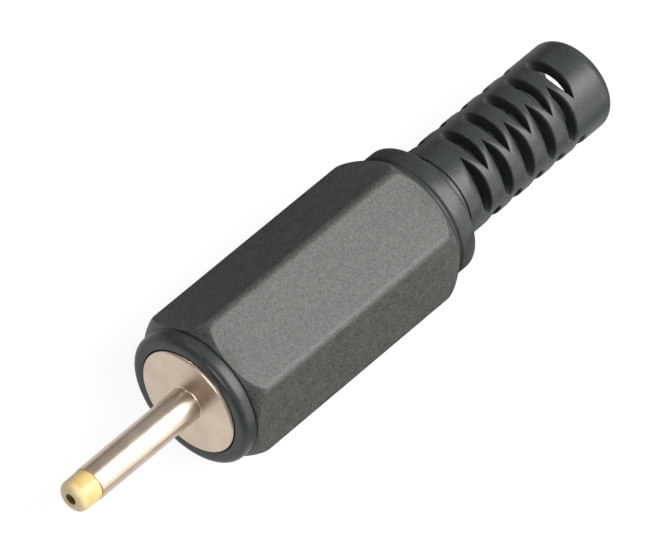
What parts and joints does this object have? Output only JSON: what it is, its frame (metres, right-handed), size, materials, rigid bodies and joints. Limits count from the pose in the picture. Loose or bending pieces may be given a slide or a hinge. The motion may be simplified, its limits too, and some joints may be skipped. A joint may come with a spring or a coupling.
{
  "type": "inline dc power plug",
  "caption": "Inline DC power plug: slim nickel barrel with an insulated yellow tip and a centre hole, in a black hexagonal screw-on hood with a slotted bend-relief tail.",
  "frame": {"origin": "centre of the flange's front face, where the mating barrel starts", "axes": "+X along the barrel towards the tip, the tail runs along -X; +Z is normal to one flat of the hexagon"},
  "size_m": [0.0485, 0.011, 0.0098],
  "materials": {
    "hood": "black moulding, fine matte grain on the flats",
    "plug_body": "turned brass, bright nickel plate",
    "tip_insulator": "pale yellow moulding, satin",
    "center_contact": "turned brass",
    "rear_washer": "brown phenolic, dull",
    "terminal": "stamped brass sheet, tin plate"
  },
  "bodies": {
    "hood": {"hood": "hood"},
    "plug_core": {"plug_body": "plug_body", "tip_insulator": "tip_insulator", "center_contact": "center_contact", "rear_washer": "rear_washer", "sleeve_lug": "terminal", "center_tag": "terminal"}
  },
  "joints": [
    {"name": "hood_unscrew", "type": "slide", "parent": "hood", "child": "plug_core", "axis": [1, 0, 0], "range_m": [0, 0.02]}
  ]
}
